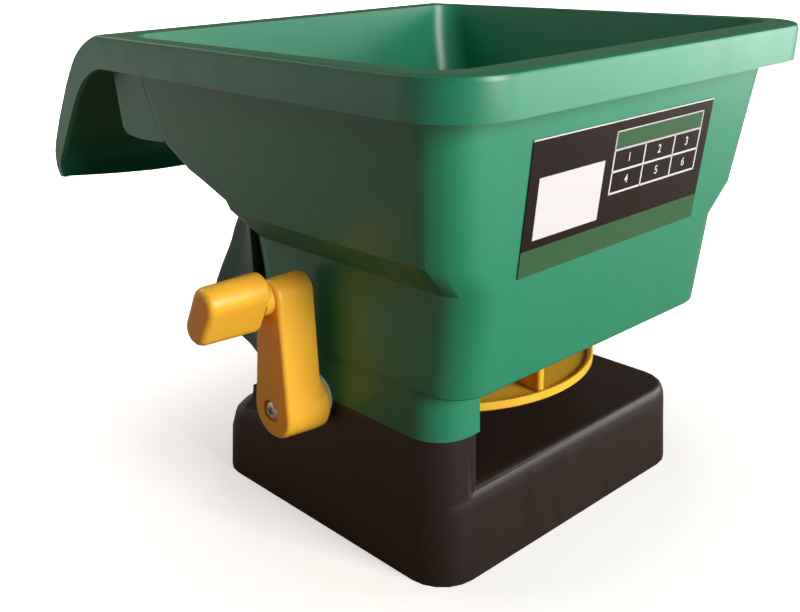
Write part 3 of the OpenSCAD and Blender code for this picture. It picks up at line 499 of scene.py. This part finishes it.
@dataclass
class FrontLabel(SubAssembly):
    """The film label on the throw side: a blank panel, a plain table of numbers and green fields.

    Places are millimetres from the label's left and top edges, as one reads it.
    """

    title = "label"
    pieces = {"front_label": Finish(Slot.LABEL, 0.08)}

    width_mm: float = 103.0
    height_mm: float = 46.8
    film_mm: float = 0.42
    # the wall under the film leans out 12.5 mm over a height of 97.4 mm
    lean_deg: float = math.degrees(math.atan(12.5 / 97.4))
    # the fields' ink starts a little inside the film, so that no gap shows
    ink_mm: float = 0.04
    sink_mm: float = 0.01
    rule_mm: float = 0.75
    top_rule_mm: float = 0.5
    panel: Sides = (5.0, 13.1, 39.3, 34.4)
    table: Sides = (44.3, 4.2, 97.3, 26.2)
    header_low: float = 10.5
    row_line: float = 18.3
    column_lines: tuple[float, float] = (62.5, 80.8)
    band: Sides = (0.0, 37.4, 103.0, 46.8)
    digit_mm: float = 4.4
    # how much the digits' outlines grow past the plain font's
    digit_swell_mm: float = 0.05

    def build(self) -> None:
        """Finishes the film and prints on it."""
        super().build()
        self.print_fields()

    def plane(self) -> Matrix:
        """Finds the film's face.

        Returns:
            The matrix from the label's left and top edges, with depth towards the reader, to the
            frame, in metres.
        """
        low, high = (Vector(corner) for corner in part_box("front_label"))
        turn = Matrix.Rotation(math.radians(self.lean_deg), 4, "X")
        face = turn @ Vector((-self.width_mm / 2, -self.film_mm / 2, self.height_mm / 2)) * MM
        to_front = Matrix(((1, 0, 0, 0), (0, 0, -1, 0), (0, -1, 0, 0), (0, 0, 0, 1)))
        return Matrix.Translation((low + high) / 2 + face) @ turn @ to_front @ Matrix.Scale(MM, 4)

    def field(self, shape: bmesh.types.BMesh, sides: Sides, ink: Ink) -> None:
        """Prints one solid rectangle.

        Args:
            shape: the mesh that takes it.
            sides: its left, top, right and bottom.
            ink: what it is printed in.
        """
        left, top, right, low = sides
        depth = self.ink_mm / 2 - self.sink_mm
        middle = Matrix.Translation(((left + right) / 2, (top + low) / 2, depth))
        size = Matrix.Diagonal((right - left, low - top, self.ink_mm, 1.0))
        made = bmesh.ops.create_cube(shape, size=1.0, matrix=middle @ size)
        for face in {face for vert in made["verts"] for face in vert.link_faces}:
            face.material_index = list(Ink).index(ink)

    def rule(
        self, shape: bmesh.types.BMesh, start: tuple[float, float], end: tuple[float, float]
    ) -> None:
        """Prints one white line, square at its ends.

        Args:
            shape: the mesh that takes it.
            start: its first point.
            end: its last point, right of the first or below it.
        """
        half = self.rule_mm / 2
        sides = (start[0] - half, start[1] - half, end[0] + half, end[1] + half)
        self.field(shape, sides, Ink.WHITE)

    def digit(self, shape: bmesh.types.BMesh, text: str, centre: tuple[float, float]) -> None:
        """Prints one plain number in white.

        Args:
            shape: the mesh that takes it.
            text: the number.
            centre: its middle.
        """
        curve = bpy.data.curves.new("number", "FONT")
        curve.body = text
        curve.size = self.digit_mm
        curve.align_x = "CENTER"
        curve.align_y = "CENTER"
        curve.extrude = self.ink_mm / 2
        curve.offset = self.digit_swell_mm
        holder = bpy.data.objects.new("number", curve)
        mesh = bpy.data.meshes.new_from_object(holder)
        # the label's places run downwards and the font's upwards, so the mesh is turned over
        upside_down = Matrix.Diagonal((1.0, -1.0, 1.0, 1.0))
        mesh.transform(Matrix.Translation((*centre, self.ink_mm / 2)) @ upside_down)
        mesh.flip_normals()
        shape.from_mesh(mesh)
        bpy.data.objects.remove(holder)
        bpy.data.curves.remove(curve)
        bpy.data.meshes.remove(mesh)

    def print_fields(self) -> None:
        """Prints the blank panel, the table with its numbers and the green fields, as one piece."""
        shape = bmesh.new()
        self.field(shape, self.panel, Ink.WHITE)
        self.field(shape, self.band, Ink.GREEN)
        left, top, right, low = self.table
        self.field(shape, (left, top, right, self.header_low), Ink.GREEN)
        self.field(shape, (0.0, 0.0, self.width_mm, self.top_rule_mm), Ink.WHITE)
        for height in (top, self.header_low, self.row_line, low):
            self.rule(shape, (left, height), (right, height))
        for across in (left, right):
            self.rule(shape, (across, top), (across, low))
        for across in self.column_lines:
            self.rule(shape, (across, self.header_low), (across, low))
        edges = (left, *self.column_lines, right)
        columns = [(start + end) / 2 for start, end in zip(edges, edges[1:])]
        rows = ((self.header_low + self.row_line) / 2, (self.row_line + low) / 2)
        for row, height in enumerate(rows):
            for column, across in enumerate(columns):
                number = len(columns) * row + column + 1
                self.digit(shape, str(number), (across, height))
        shape.transform(self.plane())
        bmesh.ops.recalc_face_normals(shape, faces=shape.faces[:])
        mesh = bpy.data.meshes.new("label_print")
        shape.to_mesh(mesh)
        shape.free()
        for ink in Ink:
            mesh.materials.append(INKS[ink])
        printed = bpy.data.objects.new("label_print", mesh)
        bpy.context.scene.collection.objects.link(printed)
        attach(printed, "frame")
        self.report("label_print", f"{len(mesh.polygons)} faces of ink")


class BaseHousing(SubAssembly):
    """The charcoal base with its bottom plate, and the bushes that the shafts turn in."""

    title = "base"
    pieces = {
        "base": Finish(Slot.BLACK, 0.35),
        "base_plate": Finish(Slot.BLACK, 0.4),
        "plate_screws": Finish(Slot.ZINC, 0.15),
        "crank_bush": Finish(Slot.NATURAL, 0.15),
        "layshaft_bushes": Finish(Slot.NATURAL, 0.15),
        "lower_bush": Finish(Slot.NATURAL, 0.15),
        "deck_bush": Finish(Slot.NATURAL, 0.15),
        "floor_bush": Finish(Slot.NATURAL, 0.15),
    }


class Crank(SubAssembly):
    """The yellow crank with its turning grip, and the shaft and gear that it drives."""

    title = "crank"
    pieces = {
        "crank_arm": Finish(Slot.YELLOW, 0.4),
        "crank_grip": Finish(Slot.YELLOW, 0.4),
        "crank_screw": Finish(Slot.ZINC, 0.12),
        "crank_washer": Finish(Slot.ZINC, 0.1),
        "crank_shaft": Finish(Slot.BRIGHT, 0.15),
        "crank_gear": Finish(Slot.NATURAL, 0.1),
    }


class Layshaft(SubAssembly):
    """The cross shaft with its pinion and bevel gear."""

    title = "layshaft"
    pieces = {
        "layshaft": Finish(Slot.BRIGHT, 0.15),
        "layshaft_pinion": Finish(Slot.NATURAL, 0.1),
        "bevel_gear": Finish(Slot.NATURAL, 0.1),
    }


class Rotor(SubAssembly):
    """The upright shaft with its bevel pinion, throwing disc and agitator."""

    title = "rotor"
    pieces = {
        "disc_shaft": Finish(Slot.BRIGHT, 0.15),
        "bevel_pinion": Finish(Slot.NATURAL, 0.1),
        "spreader_disc": Finish(Slot.YELLOW, 0.3),
        "disc_washer": Finish(Slot.ZINC, 0.1),
        "disc_clip": Finish(Slot.ZINC, 0.08),
        "agitator": Finish(Slot.BLACK, 0.3),
        "agitator_pin": Finish(Slot.ZINC, 0.15),
    }


class FlowGate(SubAssembly):
    """The turning gate plate under the hopper's floor, its lever knob and what holds it up."""

    title = "gate"
    pieces = {
        "flow_gate": Finish(Slot.BLACK, 0.2),
        "gate_knob": Finish(Slot.YELLOW, 0.6),
        "gate_retainer": Finish(Slot.NATURAL, 0.2),
        "gate_screws": Finish(Slot.ZINC, 0.12),
    }


@dataclass(frozen=True)
class Lamp:
    """One soft rectangular lamp, aimed at a height on the disc axis."""

    name: str
    at_mm: tuple[float, float, float]
    size_mm: tuple[float, float]
    watts: float
    colour: str = "#ffffff"
    aim_height_mm: float = 110.0
    # such a lamp stands for a pale wall: it shows in gloss, and gives matt surfaces no light
    sheen_only: bool = False

    def hang(self) -> None:
        """Hangs the lamp and turns it to its aim."""
        data = bpy.data.lights.new(self.name, "AREA")
        data.shape = "RECTANGLE"
        data.size, data.size_y = (side * MM for side in self.size_mm)
        data.energy = self.watts
        data.color = linear(self.colour)[:3]
        lamp = bpy.data.objects.new(self.name, data)
        bpy.context.scene.collection.objects.link(lamp)
        place, aim = Vector(self.at_mm) * MM, Vector((0.0, 0.0, self.aim_height_mm)) * MM
        turn = (aim - place).to_track_quat("-Z", "Y").to_matrix().to_4x4()
        lamp.matrix_world = Matrix.Translation(place) @ turn
        lamp.visible_camera = False
        lamp.visible_diffuse = not self.sheen_only
        log.info("studio: lamp %s", self.name)


@dataclass
class Studio:
    """White paper, soft lamps and the camera at the photograph's angle."""

    camera_mm: tuple[float, float, float] = (-290.55, -283.51, 227.49)
    yaw_deg: float = 47.43
    pitch_deg: float = 20.54
    roll_deg: float = -1.54
    focal_px: float = 1008.4
    frame_px: tuple[int, int] = (800, 612)
    # the row of the frame that the lens looks straight at
    axis_row_px: float = 304.5
    sensor_mm: float = 36.0
    # nothing nearer or further than this is drawn
    clip_m: tuple[float, float] = (0.01, 50.0)
    floor_mm: float = 6000.0
    # the paper's lit colour runs between two whites, in flecks of fibre
    paper_colour: str = "#f2f0ee"
    fleck_colour: str = "#f5f4f2"
    fibre_mm: float = 6.0
    # the paper throws less light back on the spreader than it shows, so that its shaded side
    # stays deep
    thrown_colour: str = "#9a7a5e"
    # the strength of the paper's own light, and the share of it that the camera sees by the
    # spreader, where its soft shadow has to stay: far off the camera sees all of it. The weaker
    # glow by the spreader is painted shade round its foot, which darkens the paper there even where
    # no lamp's shadow falls
    glow_strength: float = 2.4
    glow_share: float = 0.2
    # the share of what the camera sees of it far off that shows in gloss, so that the painted shade
    # by the spreader shows in reflections too
    glow_glossy: float = 0.2
    # where that light starts to grow and where it is full, from the disc axis: within these the
    # paper carries painted shade
    glow_near_mm: float = 100.0
    glow_far_mm: float = 560.0
    # strength of the air for diffuse and for glossy rays: to the camera it is plain white
    air_diffuse: float = 0.09
    air_glossy: float = 0.17
    air_colour: str = "#ffdcc0"
    white: str = "#ffffff"
    lamps: tuple[Lamp, ...] = (
        Lamp("window", (74.0, -1055.0, 413.0), (460.0, 560.0), 15.0, colour="#fffdf8"),
        Lamp("side_window", (950.0, -500.0, 301.0), (640.0, 480.0), 2.6),
        Lamp(
            "bright_wall",
            (390.0, -482.0, 170.0),
            (800.0, 300.0),
            2.3,
            aim_height_mm=170.0,
            sheen_only=True,
        ),
        Lamp(
            "left_wall",
            (-640.0, 640.0, 215.0),
            (900.0, 400.0),
            0.6,
            aim_height_mm=215.0,
            sheen_only=True,
        ),
        Lamp("back_fill", (-260.0, 860.0, 800.0), (900.0, 560.0), 5.0, colour="#fff4e8"),
    )

    def camera(self) -> None:
        """Sets the camera as it stood for the photograph."""
        data = bpy.data.cameras.new("camera")
        data.sensor_width = self.sensor_mm
        data.lens = self.focal_px / self.frame_px[0] * data.sensor_width
        data.shift_y = (self.axis_row_px - self.frame_px[1] / 2) / self.frame_px[0]
        data.clip_start, data.clip_end = self.clip_m
        camera = bpy.data.objects.new("camera", data)
        bpy.context.scene.collection.objects.link(camera)
        yaw, pitch, roll = (math.radians(a) for a in (self.yaw_deg, self.pitch_deg, self.roll_deg))
        level = math.cos(pitch)
        ahead = Vector((math.cos(yaw) * level, math.sin(yaw) * level, -math.sin(pitch)))
        right = Vector((math.sin(yaw), -math.cos(yaw), 0.0))
        upward = right.cross(ahead)
        right_rolled = math.cos(roll) * right + math.sin(roll) * upward
        up_rolled = math.cos(roll) * upward - math.sin(roll) * right
        turn = Matrix((right_rolled, up_rolled, -ahead)).transposed().to_4x4()
        camera.matrix_world = Matrix.Translation(Vector(self.camera_mm) * MM) @ turn
        bpy.context.scene.camera = camera

    def floor(self) -> None:
        """Lays the paper that the spreader stands on."""
        mesh = bpy.data.meshes.new("floor")
        shape = bmesh.new()
        bmesh.ops.create_grid(shape, x_segments=1, y_segments=1, size=self.floor_mm * MM / 2)
        shape.to_mesh(mesh)
        shape.free()
        floor = bpy.data.objects.new("floor", mesh)
        bpy.context.scene.collection.objects.link(floor)
        mesh.materials.append(self.paper())

    def paper(self) -> bpy.types.Material:
        """Builds the paper's material.

        Returns:
            Plain white paper that keeps the soft shadow under the spreader, with painted shade
            round its foot.
        """
        material, tree, output = new_material("white paper")
        path = add_node(tree, "ShaderNodeLightPath")
        place = add_node(tree, "ShaderNodeTexCoord").outputs["Object"]
        fibre = add_node(
            tree,
            "ShaderNodeTexNoise",
            {"Scale": 1 / (self.fibre_mm * MM), "Detail": 2.0},
            {"Vector": place},
        )
        reach = add_node(tree, "ShaderNodeVectorMath", {"operation": "LENGTH"}, {0: place})
        # the paper's glow grows with distance from the disc axis: nearer in, the missing glow is
        # painted shade
        past_painted_shade = add_node(
            tree,
            "ShaderNodeMapRange",
            {"From Min": self.glow_near_mm * MM, "From Max": self.glow_far_mm * MM},
            {"Value": reach.outputs["Value"]},
        )
        colours = dict(zip(MIX_COLOURS, (linear(self.paper_colour), linear(self.fleck_colour))))
        sheet = add_node(
            tree,
            "ShaderNodeMix",
            {"data_type": "RGBA", **colours},
            {MIX_SHARE: fibre.outputs["Fac"]},
        )
        thrown = add_node(
            tree,
            "ShaderNodeMath",
            {"operation": "MAXIMUM"},
            {0: path.outputs["Is Diffuse Ray"], 1: path.outputs["Is Glossy Ray"]},
        )
        bounce = add_node(
            tree,
            "ShaderNodeMix",
            {"data_type": "RGBA", MIX_COLOURS[1]: linear(self.thrown_colour)},
            {MIX_SHARE: thrown.outputs["Value"], MIX_COLOURS[0]: sheet.outputs[MIXED_COLOUR]},
        )
        lit = add_node(
            tree, "ShaderNodeBsdfDiffuse", links={"Color": bounce.outputs[MIXED_COLOUR]}
        )
        glow = add_node(
            tree,
            "ShaderNodeEmission",
            {"Color": linear(self.white), "Strength": self.glow_strength},
        )
        straight = add_node(
            tree,
            "ShaderNodeMath",
            {"operation": "MAXIMUM"},
            {0: path.outputs["Is Camera Ray"], 1: path.outputs["Is Transmission Ray"]},
        )
        own = add_node(
            tree,
            "ShaderNodeMapRange",
            {"To Min": self.glow_share, "To Max": 1.0},
            {"Value": past_painted_shade.outputs["Result"]},
        )
        seen = add_node(
            tree,
            "ShaderNodeMath",
            {"operation": "MULTIPLY"},
            {0: straight.outputs["Value"], 1: own.outputs["Result"]},
        )
        sheen = add_node(
            tree,
            "ShaderNodeMath",
            {"operation": "MULTIPLY", 1: self.glow_glossy},
            {0: past_painted_shade.outputs["Result"]},
        )
        share = add_node(
            tree,
            "ShaderNodeMath",
            {"operation": "MULTIPLY_ADD"},
            {0: path.outputs["Is Glossy Ray"], 1: sheen.outputs["Value"], 2: seen.outputs["Value"]},
        )
        both = add_node(
            tree,
            "ShaderNodeMixShader",
            links={0: share.outputs["Value"], 1: lit.outputs["BSDF"], 2: glow.outputs["Emission"]},
        )
        tree.links.new(both.outputs["Shader"], output.inputs["Surface"])
        return material

    def air(self) -> None:
        """Fills the room with a dim warm light that looks white to the camera."""
        world = bpy.data.worlds.new("studio air")
        bpy.context.scene.world = world
        world.use_nodes = True
        tree = world.node_tree
        tree.nodes.clear()
        path = add_node(tree, "ShaderNodeLightPath")
        straight = add_node(
            tree,
            "ShaderNodeMath",
            {"operation": "MAXIMUM"},
            {0: path.outputs["Is Camera Ray"], 1: path.outputs["Is Transmission Ray"]},
        )
        dim = dict(zip(MIX_NUMBERS, (self.air_diffuse, self.air_glossy)))
        gloss = add_node(
            tree,
            "ShaderNodeMix",
            {"data_type": "FLOAT", **dim},
            {MIX_SHARE: path.outputs["Is Glossy Ray"]},
        )
        strength = add_node(
            tree,
            "ShaderNodeMix",
            {"data_type": "FLOAT", MIX_NUMBERS[1]: 1.0},
            {MIX_SHARE: straight.outputs["Value"], MIX_NUMBERS[0]: gloss.outputs[MIXED_NUMBER]},
        )
        colours = dict(zip(MIX_COLOURS, (linear(self.air_colour), linear(self.white))))
        colour = add_node(
            tree,
            "ShaderNodeMix",
            {"data_type": "RGBA", **colours},
            {MIX_SHARE: straight.outputs["Value"]},
        )
        sky = add_node(
            tree,
            "ShaderNodeBackground",
            links={
                "Color": colour.outputs[MIXED_COLOUR],
                "Strength": strength.outputs[MIXED_NUMBER],
            },
        )
        out = add_node(tree, "ShaderNodeOutputWorld")
        tree.links.new(sky.outputs["Background"], out.inputs["Surface"])

    def build(self) -> None:
        """Sets camera, floor, air, lamps and the plain view transform."""
        self.camera()
        self.floor()
        self.air()
        for lamp in self.lamps:
            lamp.hang()
        bpy.context.scene.view_settings.view_transform = "Standard"


def main() -> None:
    """Builds the sub-assemblies in order, then the studio, and notes the sizes."""
    logging.basicConfig(level=logging.INFO, format="%(name)s: %(message)s")
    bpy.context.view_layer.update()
    for part in (
        HopperShell(),
        FrontLabel(),
        BaseHousing(),
        Crank(),
        Layshaft(),
        Rotor(),
        FlowGate(),
    ):
        part.build()
    Studio().build()


if __name__ == "__main__":
    main()
